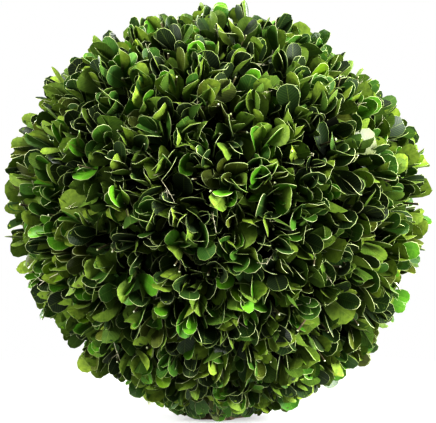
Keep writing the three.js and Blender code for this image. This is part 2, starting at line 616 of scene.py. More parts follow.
def stem_with_relief():
    """Rings of points on the post, sunk by the furrows, closer together towards the foot."""
    places, faces = [], []
    heights = stem_high.z * np.linspace(0, 1, STEM_RINGS) ** RINGS_TO_FOOT
    heights[-1] -= TOP_DOME
    for height in heights:
        centre = Vector(stem_centre(height))
        for side in range(STEM_SIDES):
            angle = math.tau * side / STEM_SIDES
            outwards = Vector((math.cos(angle), math.sin(angle), 0))
            looked_at = centre + Vector((0, 0, FOOT_LOOK if height == 0 else 0))
            met = stem_surface.ray_cast(looked_at + outwards * stem_height, -outwards)[0]
            sunk = met - outwards * furrow_depth(angle, height)
            places.append((sunk.x, sunk.y, height))
    for ring in range(STEM_RINGS - 1):
        for side in range(STEM_SIDES):
            here = ring * STEM_SIDES + side
            beside = ring * STEM_SIDES + (side + 1) % STEM_SIDES
            faces.append((here, beside, beside + STEM_SIDES, here + STEM_SIDES))
    last_ring = (STEM_RINGS - 1) * STEM_SIDES
    foot, tip = len(places), len(places) + 1
    places.append(tuple(stem_centre(0.0)))
    places.append((*stem_centre(heights[-1])[:2], stem_high.z))
    for side in range(STEM_SIDES):
        beside = (side + 1) % STEM_SIDES
        faces.append((foot, beside, side))
        faces.append((tip, last_ring + side, last_ring + beside))
    mesh = bpy.data.meshes.new("stem_bark")
    mesh.from_pydata(places, [], faces)
    mesh.polygons.foreach_set("use_smooth", [True] * len(mesh.polygons))
    mesh.materials.append(barks["bark_old"])
    return mesh


stem_piece = shown_piece(stem_with_relief())
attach(stem_piece, "root")
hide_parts("stem")

# %% [markdown]
# ## Boughs, twigs and shoots
# A limb is a round section carried along a line, thinner towards its end. Skinning a net of edges
# would blend the forks more softly, but it tears where many limbs meet. One tree of nodes does
# all of them instead: it turns the stored lines into curves, sweeps a ring along them scaled by
# the stored thickness, and pushes the skin in and out by a noise for the bark's relief. Thick
# boughs get twelve sides and deep relief, thin shoots five sides and none.

# %% The limb tree
RELIEF_SCALE = 210.0


def limb_tree():
    """Lines with a thickness in, barked limbs out."""
    tree = bpy.data.node_groups.new("Limbs", "GeometryNodeTree")
    tree_input(tree, "Lines", "NodeSocketGeometry")
    tree_input(tree, "Sides", "NodeSocketInt", 6)
    tree_input(tree, "Steps Along", "NodeSocketInt", 1)
    tree_input(tree, "Relief", "NodeSocketFloat", 0.0)
    tree_input(tree, "Bark", "NodeSocketMaterial")
    given = add_node(tree, "NodeGroupInput").outputs
    lines = add_node(tree, "GeometryNodeMeshToCurve", {"Mesh": given["Lines"]}).outputs[0]
    finer = {"Curve": lines, "Cuts": given["Steps Along"]}
    finer = add_node(tree, "GeometryNodeSubdivideCurve", finer).outputs[0]
    ring_inputs = {"Resolution": given["Sides"], "Radius": 1.0}
    ring = add_node(tree, "GeometryNodeCurvePrimitiveCircle", ring_inputs).outputs[0]
    thickness = stored(tree, "thickness", "FLOAT")
    sweep = {"Curve": finer, "Profile Curve": ring, "Scale": thickness, "Fill Caps": True}
    skin = add_node(tree, "GeometryNodeCurveToMesh", sweep).outputs[0]
    bumps = add_node(tree, "ShaderNodeTexNoise", {"Scale": RELIEF_SCALE, "Detail": 3.0}).outputs[0]
    centred = maths(tree, "SUBTRACT", bumps, 0.5)
    height = maths(tree, "MULTIPLY", centred, given["Relief"])
    normal = add_node(tree, "GeometryNodeInputNormal").outputs[0]
    push = vector_maths(tree, "SCALE", {0: normal, "Scale": height})
    pushed = {"Geometry": skin, "Offset": push}
    rough = add_node(tree, "GeometryNodeSetPosition", pushed).outputs[0]
    smooth = add_node(tree, "GeometryNodeSetShadeSmooth", {0: rough}).outputs[0]
    real = add_node(tree, "GeometryNodeRealizeInstances", {0: smooth}).outputs[0]
    real = kept_above_ground(tree, real)
    paint = {"Geometry": real, "Material": given["Bark"]}
    painted = add_node(tree, "GeometryNodeSetMaterial", paint).outputs[0]
    give_out(tree, "NodeSocketGeometry", {"Limbs": painted})
    return tree


limbs_from_lines = limb_tree()
print("limb tree has", len(limbs_from_lines.nodes), "nodes")

# %% Sweeping the limbs
LIMB_KINDS = (
    # piece, its lines, sides, steps along, relief, bark
    ("boughs", bough_lines, 12, 6, 1.6 * MM, "bark_old"),
    ("twigs", twig_lines, 6, 1, 0.3 * MM, "bark_twig"),
    ("shoots", shoot_lines, 5, 0, 0.0, "bark_shoot"),
)
for name, lines, sides, steps, relief, bark in LIMB_KINDS:
    inputs = {"Sides": sides, "Steps Along": steps, "Relief": relief, "Bark": barks[bark]}
    limbs = grown_piece(name, line_mesh(name + "_lines", lines), limbs_from_lines, inputs)
    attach(limbs, "root")

# %% [markdown]
# ## Leaves in opposite pairs
# Box leaves sit two by two on the shoot, each pair turned a quarter round from the last. The
# youngest pair stands almost upright and each older pair leans further out. Some leaves are
# splayed wide by their neighbours, and many are turned over, so that their pale underside shows.
# Leaves strewn at random would look like confetti, so they follow that rule, with a scatter on
# every angle. A leaf is described by three things only: where its stalk starts, which way it
# points, and which way its glossy upper side faces.

# %% Measures of the leaf rule
PAIR_SPACING = 7.0 * MM
PAIRS_IN_LIGHT = 4
PAIRS_IN_ALL = 6
YOUNGEST_ANGLE = math.radians(7)
ANGLE_STEP = math.radians(7.5)
WIDEST_ANGLE = math.radians(75)
ANGLE_SCATTER = math.radians(9)
SPLAYED_SHARE = 0.16
SPLAY = (math.radians(15), math.radians(50))
TURN_SCATTER = math.radians(32)
TWIST_SCATTER = math.radians(26)
OVERTURNED_SHARE = 0.4
DROP_SCATTER = 0.4
LEAF_LENGTHS = (18 * MM, 30 * MM)
YOUNG_SHARE = 0.85
STALK_SHARE = 0.06
UPRIGHT = 0.9


print("leaves are", [round(length / MM) for length in LEAF_LENGTHS], "mm long, the youngest less")

# %% The leaf rule
def across(axis):
    """Two directions square to an axis and to each other."""
    helper = np.where(np.abs(axis[:, 2:3]) < UPRIGHT, [[0.0, 0.0, 1.0]], [[1.0, 0.0, 0.0]])
    first = unit(np.cross(axis, helper))
    return first, np.cross(axis, first)


def turned(vectors, axis, angle):
    """Vectors square to an axis, turned about it."""
    return vectors * np.cos(angle)[:, None] + np.cross(axis, vectors) * np.sin(angle)[:, None]


def leaf_pairs(ends, axes):
    """Places, pointings, facings, lengths and sprig numbers of the leaves of every sprig."""
    count = len(ends)
    side, other_side = across(axes)
    quarter = rng.uniform(0, math.pi, count)
    found = []
    for pair in range(PAIRS_IN_ALL):
        for half_turn in (0, math.pi):
            angle = YOUNGEST_ANGLE + pair * ANGLE_STEP + rng.normal(0, ANGLE_SCATTER, count)
            splayed = rng.random(count) < SPLAYED_SHARE
            angle = np.minimum(angle + splayed * rng.uniform(*SPLAY, count), WIDEST_ANGLE)
            turn = quarter + pair * math.pi / 2 + half_turn + rng.normal(0, TURN_SCATTER, count)
            out = side * np.cos(turn)[:, None] + other_side * np.sin(turn)[:, None]
            along = axes * np.cos(angle)[:, None] + out * np.sin(angle)[:, None]
            facing = axes * np.sin(angle)[:, None] - out * np.cos(angle)[:, None]
            facing = turned(facing, along, rng.normal(0, TWIST_SCATTER, count))
            overturned = rng.random(count) < OVERTURNED_SHARE
            facing[overturned] *= -1
            drop = (pair + rng.uniform(-DROP_SCATTER, DROP_SCATTER, count)) * PAIR_SPACING
            length = rng.uniform(*LEAF_LENGTHS, count) * (YOUNG_SHARE if pair == 0 else 1.0)
            place = ends - axes * drop[:, None] + along * STALK_SHARE * length[:, None]
            found.append((place, along, facing, length, np.arange(count)))
    return [np.concatenate(column) for column in zip(*found)]


pair_rows = leaf_pairs(sprig_ends, sprig_lean)
inner_leaves = np.repeat(np.arange(PAIRS_IN_ALL) >= PAIRS_IN_LIGHT, 2 * sprig_total)
print(len(inner_leaves), "leaves in pairs,", inner_leaves.sum(), "of them deep inside")

# %% [markdown]
# ## The leaves round the foot
# A ball that grows from the ground hides its own foot: its lowest leaves hang down over the short
# stem. Sprigs alone leave gaps there, because there is no room for shoots so near the ground, so
# a curtain of leaves is hung round the stem. Their tips draw in towards the ground and their flat
# sides face outwards; each takes the number of the nearest sprig, and so its green.

# %% A curtain of leaves
GROUND_CLEARANCE = 0.8 * MM
CURTAIN_COUNT = 96
CURTAIN_RING = (21.5 * MM, 24.5 * MM)
CURTAIN_RISE = (0 * MM, 9 * MM)
CURTAIN_FLARE = 1.1
CURTAIN_SLOPE = (0.1, 0.7)
CURTAIN_SCATTER = 0.2
stem_foot = np.array([(stem_low.x + stem_high.x) / 2, (stem_low.y + stem_high.y) / 2, 0.0])


def foot_leaves(count):
    """A curtain of leaves round the foot, their flat sides outwards, hanging almost to the ground."""
    turn = rng.uniform(0, math.tau, count)
    out = np.stack([np.cos(turn), np.sin(turn), np.zeros(count)], axis=1)
    along = -out * rng.uniform(*CURTAIN_SLOPE, count)[:, None] - np.array([0, 0, 1])
    along = unit(along + CURTAIN_SCATTER * rng.normal(0, 1, (count, 3)))
    facing = unit(out + CURTAIN_SCATTER * rng.normal(0, 1, (count, 3)))
    length = rng.uniform(*LEAF_LENGTHS, count) * YOUNG_SHARE
    ring = rng.uniform(*CURTAIN_RING, count)
    rise = rng.uniform(*CURTAIN_RISE, count)
    tips = stem_foot + out * (ring + CURTAIN_FLARE * rise)[:, None]
    tips[:, 2] = GROUND_CLEARANCE + rise
    place = tips - along * length[:, None]
    return place, along, facing, length, nearest(place, sprig_ends)


curtain_rows = foot_leaves(CURTAIN_COUNT)
rows = [np.concatenate(both) for both in zip(pair_rows, curtain_rows)]
leaf_place, leaf_along, leaf_facing, leaf_length, leaf_sprig = rows
leaf_in_curtain = np.arange(len(leaf_place)) >= len(inner_leaves)
leaf_inner = np.concatenate([inner_leaves, np.zeros(CURTAIN_COUNT, dtype=bool)])
print(leaf_in_curtain.sum(), "leaves in the curtain")

# %% [markdown]
# ## Clipping the leaves
# The shears leave no leaf far outside the round of the ball, and the ground lets none through.
# Cutting the finished leaves would cost many faces and leave straight edges that nobody sees at
# this size. So a leaf whose tip stands out too far is drawn back along its own length, and one
# that would hang too low is turned up until its tip is clear of the ground.

# %% Drawing leaves back to the clipped surface
STANDING_OUT = (-3 * MM, 5 * MM)
leaf_tips = leaf_place + leaf_along * leaf_length[:, None]
tip_ways = unit(leaf_tips - middle)
tip_surface = np.array([surface_point(way) for way in tip_ways])
standing_out = ((leaf_tips - tip_surface) * tip_ways).sum(axis=1)
drawn_back = np.maximum(standing_out - rng.uniform(*STANDING_OUT, len(leaf_tips)), 0)
drawn_back[leaf_in_curtain] = 0
leaf_place -= leaf_along * drawn_back[:, None]
print((drawn_back > 0).sum(), "leaves drawn back to the clipped surface")

# %% Keeping leaves off the ground
UNDERSIDE_RISE = 8.0 * MM
clearance = np.where(leaf_in_curtain, GROUND_CLEARANCE, UNDERSIDE_RISE)
lowest_slope = np.clip((clearance - leaf_place[:, 2]) / leaf_length, -1, 0)
drooping = leaf_along[:, 2] < lowest_slope
level_reach = np.sqrt(1 - lowest_slope[drooping] ** 2)
leaf_along[drooping, :2] = unit(leaf_along[drooping, :2]) * level_reach[:, None]
leaf_along[drooping, 2] = lowest_slope[drooping]
print(drooping.sum(), "leaves turned up, lowest stalk", round(leaf_place[:, 2].min() / MM, 1), "mm up")

# %% [markdown]
# ## Leaf shapes
# A box leaf is oval, broadest past its middle, round or slightly notched at the tip, and cupped
# like a spoon, with a thin pale margin and a short stalk that runs on as a keel underneath. A flat
# card with a see-through leaf on it would be cheaper, but has no edge to catch the light. So each
# pattern leaf is made of closed shells: an upper side, an underside, and between them a narrow
# slanted rim. Its faces carry a mark that says which of the three they are, and a flat map that
# later places midrib, veins and tint. The edges between the three are marked sharp, so that each
# is shaded by itself.

# %% Pattern meshes with marks
UPPER, UNDER, RIM = 0, 1, 2
UPPER_PLACE = 0.25
UNDER_PLACE = 0.75
MAP_SHARE = 0.42
MAP_MARGIN = 0.03
RIM_ON_MAP = 0.012


def on_leaf_map(share, along, mark):
    """Upper side in the left half of the map, underside in the right half, rim between them."""
    up = MAP_MARGIN + (1 - 2 * MAP_MARGIN) * min(1.0, max(0.0, along))
    if mark == RIM:
        return (0.5 + RIM_ON_MAP * math.copysign(1, share), up)
    return ((UPPER_PLACE if mark == UPPER else UNDER_PLACE) + MAP_SHARE * share, up)


def pattern_mesh(name, places, shares, faces, marks):
    """A mesh whose faces carry a mark and a place on the leaf map."""
    mesh = bpy.data.meshes.new(name)
    mesh.from_pydata(places, [], faces)
    mesh.attributes.new("side_mark", "INT", "FACE").data.foreach_set("value", marks)
    own_map = mesh.attributes.new("own_map", "FLOAT2", "CORNER")
    marks_at_edge = {}
    for polygon, mark in zip(mesh.polygons, marks):
        for loop in polygon.loop_indices:
            share, along = shares[mesh.loops[loop].vertex_index]
            own_map.data[loop].vector = on_leaf_map(share, along, mark)
        for key in polygon.edge_keys:
            marks_at_edge.setdefault(key, set()).add(mark)
    sharp = [len(marks_at_edge[edge.key]) > 1 for edge in mesh.edges]
    mesh.attributes.new("sharp_edge", "BOOLEAN", "EDGE").data.foreach_set("value", sharp)
    mesh.polygons.foreach_set("use_smooth", [True] * len(mesh.polygons))
    return mesh


# %% The points and faces of one leaf
LEAF_THICKNESS = 0.012
RIM_BREADTH = 0.009
LEAST_INNER_SHARE = 0.3


class LeafShape:
    """A leaf one long, lying along +Y with its upper side towards +Z."""

    def __init__(self, breadth, cup, curl):
        self.breadth, self.cup, self.curl = breadth, cup, curl
        self.places, self.shares, self.faces, self.marks = [], [], [], []

    def point(self, x, y, z):
        """A point of the leaf, and its place on the leaf map."""
        self.places.append((x, y, z))
        self.shares.append((x / self.breadth, y))
        return len(self.places) - 1

    def on_blade(self, x, y, side):
        """A point of the cupped and curled blade: side 1 is above, -1 underneath."""
        lift = self.cup * (2 * x / self.breadth) ** 2 * self.breadth / 2 + self.curl * y**2
        return self.point(x, y, lift + side * LEAF_THICKNESS / 2)

    def face(self, mark, *corners):
        """A face of the upper side, the underside or the rim."""
        self.faces.append(corners)
        self.marks.append(mark)


def half_breadth(along, breadth, taper, blunt):
    """Half the width of the blade at a share of its length."""
    widest = (taper / (taper + blunt / 2)) ** (1 / blunt)
    peak = widest**taper * math.sqrt(1 - widest**blunt)
    return breadth / 2 * along**taper * math.sqrt(max(0.0, 1 - along**blunt)) / peak


middle_width = half_breadth(0.5, 1.0, 0.8, 2.8)
print("a leaf is", round(2 * middle_width, 2), "of its full width halfway along")

# %% The blade
def add_blade(leaf, stations, taper, blunt, notch):
    """Upper side, underside and rim, from a row of points on both sides at every station."""
    base = leaf.on_blade(0, 0, 0)
    rows = []
    for step in range(1, stations):
        y = 0.5 * (1 - math.cos(math.pi * step / stations))
        half = half_breadth(y, leaf.breadth, taper, blunt)
        inner = max(LEAST_INNER_SHARE * half, half - RIM_BREADTH)
        upper = [leaf.on_blade(x, y, 1) for x in (-inner, 0, inner)]
        under = [leaf.on_blade(x, y, -1) for x in (-half, 0, half)]
        rows.append((upper, under))
    upper_tip = leaf.on_blade(0, 1 - RIM_BREADTH - notch, 1)
    under_tip = leaf.on_blade(0, 1 - notch, -1)

    first_upper, first_under = rows[0]
    last_upper, last_under = rows[-1]
    for left, right in ((0, 1), (1, 2)):
        leaf.face(UPPER, base, first_upper[right], first_upper[left])
        leaf.face(UNDER, base, first_under[left], first_under[right])
        leaf.face(UPPER, last_upper[left], last_upper[right], upper_tip)
        leaf.face(UNDER, last_under[right], last_under[left], under_tip)
    leaf.face(RIM, base, first_upper[0], first_under[0])
    leaf.face(RIM, base, first_under[2], first_upper[2])
    leaf.face(RIM, last_under[0], last_upper[0], upper_tip, under_tip)
    leaf.face(RIM, last_upper[2], last_under[2], under_tip, upper_tip)
    for (upper, under), (next_upper, next_under) in zip(rows, rows[1:]):
        for left, right in ((0, 1), (1, 2)):
            leaf.face(UPPER, upper[left], upper[right], next_upper[right], next_upper[left])
            leaf.face(UNDER, under[right], under[left], next_under[left], next_under[right])
        leaf.face(RIM, under[0], upper[0], next_upper[0], next_under[0])
        leaf.face(RIM, upper[2], under[2], next_under[2], next_upper[2])


# %% The stalk and keel
STALK_RADIUS = 0.016
STALK_SIDES = 3
STALK_FOOT = -0.08
KEEL_END = 0.45
KEEL_DEPTH = 1.2


def add_stalk(leaf):
    """A thin closed spindle: the stalk, which runs on as a keel under the blade."""
    foot = leaf.on_blade(0, STALK_FOOT, -1)
    ring = []
    for corner in range(STALK_SIDES):
        angle = math.tau * corner / STALK_SIDES + math.pi / 2
        x, z = STALK_RADIUS * math.cos(angle), STALK_RADIUS * math.sin(angle)
        ring.append(leaf.point(x, 0.0, z - LEAF_THICKNESS))
    end = leaf.on_blade(0, KEEL_END, -KEEL_DEPTH)
    for corner, here in enumerate(ring):
        beside = ring[(corner + 1) % STALK_SIDES]
        leaf.face(RIM, foot, here, beside)
        leaf.face(RIM, end, beside, here)


def pattern_leaf(name, stations, breadth, taper, blunt, cup, curl, notch):
    """The mesh of one pattern leaf."""
    leaf = LeafShape(breadth, cup, curl)
    add_blade(leaf, stations, taper, blunt, notch)
    add_stalk(leaf)
    return pattern_mesh(name, leaf.places, leaf.shares, leaf.faces, leaf.marks)


# %% A set of leaf shapes
def pattern_set(name, meshes):
    """A collection of patterns for a tree to pick from."""
    collection = bpy.data.collections.new(name)
    for mesh in meshes:
        collection.objects.link(bpy.data.objects.new(mesh.name, mesh))
    bpy.context.scene.collection.children.link(collection)
    return collection


def outward_volume(mesh):
    """The volume that the faces enclose, above zero where they point outwards."""
    mesh.calc_loop_triangles()
    corners = [[mesh.vertices[i].co for i in t.vertices] for t in mesh.loop_triangles]
    return sum(a.dot(b.cross(c)) for a, b, c in corners) / 6


OUTER_STATIONS = 7
INNER_STATIONS = 4
LEAF_PATTERNS = (
    # breadth, taper, blunt, cup, curl, notch
    (0.57, 0.80, 2.8, 0.30, 0.05, 0.000),
    (0.53, 0.70, 2.4, 0.42, 0.12, 0.000),
    (0.62, 0.85, 3.2, 0.20, -0.08, 0.025),
    (0.48, 0.75, 2.6, 0.55, 0.02, 0.010),
    (0.59, 0.90, 3.4, 0.35, 0.18, 0.030),
    (0.53, 0.70, 2.6, -0.18, -0.16, 0.000),
    (0.61, 0.80, 2.6, 0.14, 0.00, 0.000),
    (0.45, 0.72, 2.2, 0.70, 0.10, 0.000),
)


def leaf_set(name, stations, patterns):
    """One pattern leaf for each row of measures."""
    meshes = []
    for number, pattern in enumerate(patterns):
        meshes.append(pattern_leaf(f"{name}_{number}", stations, *pattern))
    return pattern_set(name, meshes)


outer_shapes = leaf_set("outer_leaf", OUTER_STATIONS, LEAF_PATTERNS)
inner_shapes = leaf_set("inner_leaf", INNER_STATIONS, LEAF_PATTERNS[:2])
for shapes in (outer_shapes, inner_shapes):
    volumes = [outward_volume(shape.data) for shape in shapes.objects]
    faces = len(shapes.objects[0].data.polygons)
    print(shapes.name, faces, "faces each, closed outwards:", min(volumes) > 0)

# %% [markdown]
# ## Buds and cut shoots
# Between the leaves of the youngest pair sits a plump, pale bud, and wherever the shears went
# through a shoot its end shows as a small cream disc. Each could be a squashed ball and a plain
# cylinder, but a short profile carried round an axis gives both with one function. They carry the
# same marks as the leaves, so the same tree can set them out: skin where the mark says underside,
# pale wood or bud where it says rim.

# %% Turned patterns
def pattern_turned(name, sides, profile, marks_along):
    """A closed shape turned round +Y from places along and radii, with a mark for each band."""
    places, shares, faces, marks = [], [], [], []
    for along, radius in profile:
        for side in range(sides):
            angle = math.tau * side / sides
            places.append((radius * math.cos(angle), along, -radius * math.sin(angle)))
            shares.append((0.5 * math.cos(angle), along))
    for band, mark in enumerate(marks_along[1:-1]):
        for side in range(sides):
            here = band * sides + side
            beside = band * sides + (side + 1) % sides
            faces.append((here, beside, beside + sides, here + sides))
            marks.append(mark)
    for end, mark, order in ((0, marks_along[0], -1), (len(profile) - 1, marks_along[-1], 1)):
        faces.append(tuple(range(end * sides, (end + 1) * sides))[::order])
        marks.append(mark)
    return pattern_mesh(name, places, shares, faces, marks)


BUD_PROFILE = ((0.0, 0.10), (0.25, 0.30), (0.6, 0.34), (0.88, 0.18), (1.0, 0.04))
CUT_PROFILE = ((0.0, 0.045), (0.5, 0.042), (0.97, 0.048), (1.0, 0.040))
bud = pattern_turned("bud", 6, BUD_PROFILE, (UNDER, UNDER, RIM, RIM, RIM, RIM))
cut_shoot = pattern_turned("cut_shoot", 6, CUT_PROFILE, (UNDER, UNDER, UNDER, RIM, RIM))
bud_shapes = pattern_set("bud_shapes", [bud])
cut_shapes = pattern_set("cut_shapes", [cut_shoot])
print("bud and cut shoot closed outwards:", [outward_volume(m) > 0 for m in (bud, cut_shoot)])

# %% [markdown]
# ## Growing leaves on points
# Some twelve thousand leaves are too many to place one by one, and a particle system can't turn
# each as its pair asks. A tree of nodes sets one pattern on every point, turned so that its length
# follows the stored pointing and its upper side the stored facing. Each leaf then gets its own
# square of the surface map: sixty-four squares, each with its own tint, so that thousands of
# leaves share one small map and still differ. The tree ends by giving the upper side, the
# underside and the rim their own finish.

# %% Patterns set on points
MAP_SQUARES = 8
LEAST_BREADTH = 0.88
MOST_BREADTH = 1.12
SHAPE_SEED_STEP = 100
SQUARE_SEED_STEP = 200


def patterns_on_points(tree, given):
    """One pattern on each point, turned, sized and numbered, as one mesh."""
    seed = given["Seed"]
    shape_seed = maths(tree, "ADD", seed, SHAPE_SEED_STEP)
    square_seed = maths(tree, "ADD", seed, SQUARE_SEED_STEP)
    shapes = {"Collection": given["Shapes"], "Separate Children": True, "Reset Children": True}
    axes = dict(primary_axis="Y", secondary_axis="Z")
    directions = {0: stored(tree, "along", "FLOAT_VECTOR"), 1: stored(tree, "facing", "FLOAT_VECTOR")}
    length = stored(tree, "length", "FLOAT")
    breadth = drawn(tree, "FLOAT", given["Least Breadth"], given["Most Breadth"], seed)
    breadth = maths(tree, "MULTIPLY", length, breadth)
    sizes = {"X": breadth, "Y": length, "Z": length}
    last_shape = maths(tree, "SUBTRACT", given["Shape Count"], 1)
    pick = {
        "Points": given["Points"],
        "Instance": add_node(tree, "GeometryNodeCollectionInfo", shapes).outputs[0],
        "Pick Instance": True,
        "Instance Index": drawn(tree, "INT", 0, last_shape, shape_seed),
        "Rotation": add_node(tree, "FunctionNodeAxesToRotation", directions, **axes).outputs[0],
        "Scale": add_node(tree, "ShaderNodeCombineXYZ", sizes).outputs[0],
    }
    placed = add_node(tree, "GeometryNodeInstanceOnPoints", pick).outputs[0]
    number = drawn(tree, "INT", 0, MAP_SQUARES * MAP_SQUARES - 1, square_seed)
    numbered = store(tree, placed, "square", number, "INT", "INSTANCE")
    return add_node(tree, "GeometryNodeRealizeInstances", {0: numbered}).outputs[0]


# %% The surface map and the three finishes
SURFACE_MAP = "OFBake"


def mapped(tree, leaves):
    """Each leaf's own map, moved into its square of the surface map."""
    square = stored(tree, "square", "INT")
    column = maths(tree, "FLOORED_MODULO", square, MAP_SQUARES)
    row = maths(tree, "FLOOR", maths(tree, "DIVIDE", square, MAP_SQUARES))
    corner = add_node(tree, "ShaderNodeCombineXYZ", {"X": column, "Y": row}).outputs[0]
    moved = vector_maths(tree, "ADD", {0: stored(tree, "own_map", "FLOAT_VECTOR"), 1: corner})
    shrunk = vector_maths(tree, "SCALE", {0: moved, "Scale": 1 / MAP_SQUARES})
    return store(tree, leaves, SURFACE_MAP, shrunk, "FLOAT2", "CORNER")


def painted(tree, leaves, given):
    """A finish for every face, chosen by its mark."""
    equal = dict(data_type="INT", operation="EQUAL")
    for mark, name in ((UPPER, "Upper Side"), (UNDER, "Underside"), (RIM, "Rim")):
        marked = {2: stored(tree, "side_mark", "INT"), 3: mark}
        chosen = add_node(tree, "FunctionNodeCompare", marked, **equal).outputs[0]
        paint = {"Geometry": leaves, "Selection": chosen, "Material": given[name]}
        leaves = add_node(tree, "GeometryNodeSetMaterial", paint).outputs[0]
    return leaves


# %% The leaf tree
def leaf_tree():
    """Points with a pointing, a facing and a length in, painted leaves out."""
    tree = bpy.data.node_groups.new("Leaves on shoots", "GeometryNodeTree")
    tree_input(tree, "Points", "NodeSocketGeometry")
    tree_input(tree, "Shapes", "NodeSocketCollection")
    tree_input(tree, "Shape Count", "NodeSocketInt", 1)
    tree_input(tree, "Least Breadth", "NodeSocketFloat", LEAST_BREADTH)
    tree_input(tree, "Most Breadth", "NodeSocketFloat", MOST_BREADTH)
    tree_input(tree, "Seed", "NodeSocketInt", 1)
    for name in ("Upper Side", "Underside", "Rim"):
        tree_input(tree, name, "NodeSocketMaterial")
    given = add_node(tree, "NodeGroupInput").outputs
    leaves = kept_above_ground(tree, patterns_on_points(tree, given))
    leaves = painted(tree, mapped(tree, leaves), given)
    give_out(tree, "NodeSocketGeometry", {"Leaves": leaves})
    return tree


def set_out(name, shapes, rows, finishes, seed):
    """One joined piece of patterns, set on places with a pointing, a facing and a length."""
    inputs = {"Shapes": shapes, "Shape Count": len(shapes.objects), "Seed": seed}
    inputs.update(zip(("Upper Side", "Underside", "Rim"), finishes))
    return grown_piece(name, point_cloud(name + "_places", *rows), leaves_on_shoots, inputs)


leaves_on_shoots = leaf_tree()
print("leaf tree has", len(leaves_on_shoots.nodes), "nodes")

# %% [markdown]
# ## Leaf finishes
# The upper side is glossy and deep green, with a paler midrib and fine slanting veins; the
# underside is matt and yellower; the rim is pale straw. All that could be painted once on a
# picture of a leaf, but then every leaf would be the same. Instead one node group reads the
# leaf's own map and gives the tint of its square, midrib, veins, a fine mottling and the way from
# foot to tip. Each material mixes its own two greens with them, darkens them with painted shade
# towards the foot, where the neighbouring leaves shade it, and lets midrib and veins feed a soft bump.

# %% The leaf pattern group
PATTERN_MEASURES = {
    "Squares": float(MAP_SQUARES),
    "Midrib Place": UPPER_PLACE,
    "Midrib Width": 0.012,
    "Vein Count": 13.0,
    "Vein Slant": 1.1,
    "Vein Width": 0.18,
    "Mottle Scale": 9.0,
}


def leaf_pattern_group():
    """Tint, midrib, veins, mottling and the way to the tip, from the leaf's own map."""
    group = bpy.data.node_groups.new("Leaf pattern", "ShaderNodeTree")
    for name, value in PATTERN_MEASURES.items():
        tree_input(group, name, "NodeSocketFloat", value)
    given = add_node(group, "NodeGroupInput").outputs
    leaf_map = add_node(group, "ShaderNodeUVMap", uv_map=SURFACE_MAP).outputs[0]
    spread = vector_maths(group, "SCALE", {0: leaf_map, "Scale": given["Squares"]})
    square = vector_maths(group, "FLOOR", {0: spread})
    within = vector_maths(group, "FRACTION", {0: spread})
    tint = add_node(group, "ShaderNodeTexWhiteNoise", {"Vector": square}, noise_dimensions="2D")
    place = add_node(group, "ShaderNodeSeparateXYZ", {0: within}).outputs
    off_rib = maths(group, "SUBTRACT", place["X"], given["Midrib Place"])
    distance = maths(group, "ABSOLUTE", off_rib)
    midrib = stretched(group, distance, 0.0, given["Midrib Width"], 1.0, 0.0)
    slanted = maths(group, "MULTIPLY", distance, given["Vein Slant"])
    rising = maths(group, "SUBTRACT", place["Y"], slanted)
    phase = maths(group, "FRACT", maths(group, "MULTIPLY", rising, given["Vein Count"]))
    off_vein = maths(group, "ABSOLUTE", maths(group, "SUBTRACT", phase, 0.5))
    veins = stretched(group, off_vein, 0.0, given["Vein Width"], 1.0, 0.0)
    clouds = {"Vector": spread, "Scale": given["Mottle Scale"], "Detail": 3.0}
    mottle = add_node(group, "ShaderNodeTexNoise", clouds, noise_dimensions="2D").outputs[0]
    results = {"Tint": tint.outputs["Value"], "Midrib": midrib, "Veins": veins}
    results |= {"Mottle": mottle, "Towards Tip": place["Y"]}
    give_out(group, "NodeSocketFloat", results)
    return group


leaf_pattern = leaf_pattern_group()
print("leaf pattern has", len(leaf_pattern.nodes), "nodes")

# %% Leaf materials
# Painted shade: FOOT_SHADE, FOOT_REACH and FOOT_DARKNESS darken the base colour towards each leaf's
# foot, where neighbouring leaves shade it.
FOOT_SHADE = 0.88
FOOT_REACH = (0.12, 0.88)
FOOT_DARKNESS = 0.25
MOTTLE_REACH = (0.35, 0.75)
MOTTLE_SHARE = 0.55
MOTTLE_DARKNESS = 0.72
RIB_SHARE = 0.38
VEIN_SHARE = 0.18
VEIN_RISE = 0.4
MOTTLE_RISE = 0.8
LEAF_BUMP = 0.35
LEAF_BUMP_DISTANCE = 0.12 * MM
RIB_GREEN = (150, 170, 80)


def leaf_material(name, greens, roughness, gloss, rib=RIB_GREEN, rib_place=UPPER_PLACE):
    """A leaf skin between two greens, with painted shade towards the foot, midrib, veins and bump."""
    darkest, lightest, rib = (linear(*colour) for colour in (*greens, rib))
    material, tree, shader = blank_material(name)
    pattern = add_node(tree, "ShaderNodeGroup", node_tree=leaf_pattern)
    pattern.inputs["Midrib Place"].default_value = rib_place
    seen = pattern.outputs
    tinted = mixed(tree, seen["Tint"], darkest, lightest)
    mottle = stretched(tree, seen["Mottle"], *MOTTLE_REACH, 0.0, MOTTLE_SHARE)
    mottled = mixed(tree, mottle, tinted, darker(darkest, MOTTLE_DARKNESS))
    veined = mixed(tree, maths(tree, "MULTIPLY", seen["Veins"], VEIN_SHARE), mottled, rib)
    ribbed = mixed(tree, maths(tree, "MULTIPLY", seen["Midrib"], RIB_SHARE), veined, rib)
    # Painted shade: the colour darkens from the tip towards the foot, standing in for the shadow of the
    # neighbouring leaves.
    foot = stretched(tree, seen["Towards Tip"], *FOOT_REACH, FOOT_SHADE, 0.0)
    shaded = mixed(tree, foot, ribbed, darker(darkest, FOOT_DARKNESS))
    tree.links.new(shaded, shader.inputs["Base Color"])
    raised = maths(tree, "ADD", seen["Midrib"], maths(tree, "MULTIPLY", seen["Veins"], VEIN_RISE))
    raised = maths(tree, "ADD", raised, maths(tree, "MULTIPLY", seen["Mottle"], MOTTLE_RISE))
    add_bump(tree, shader, raised, LEAF_BUMP, LEAF_BUMP_DISTANCE)
    shader.inputs["Roughness"].default_value = roughness
    shader.inputs["Specular IOR Level"].default_value = gloss
    return material


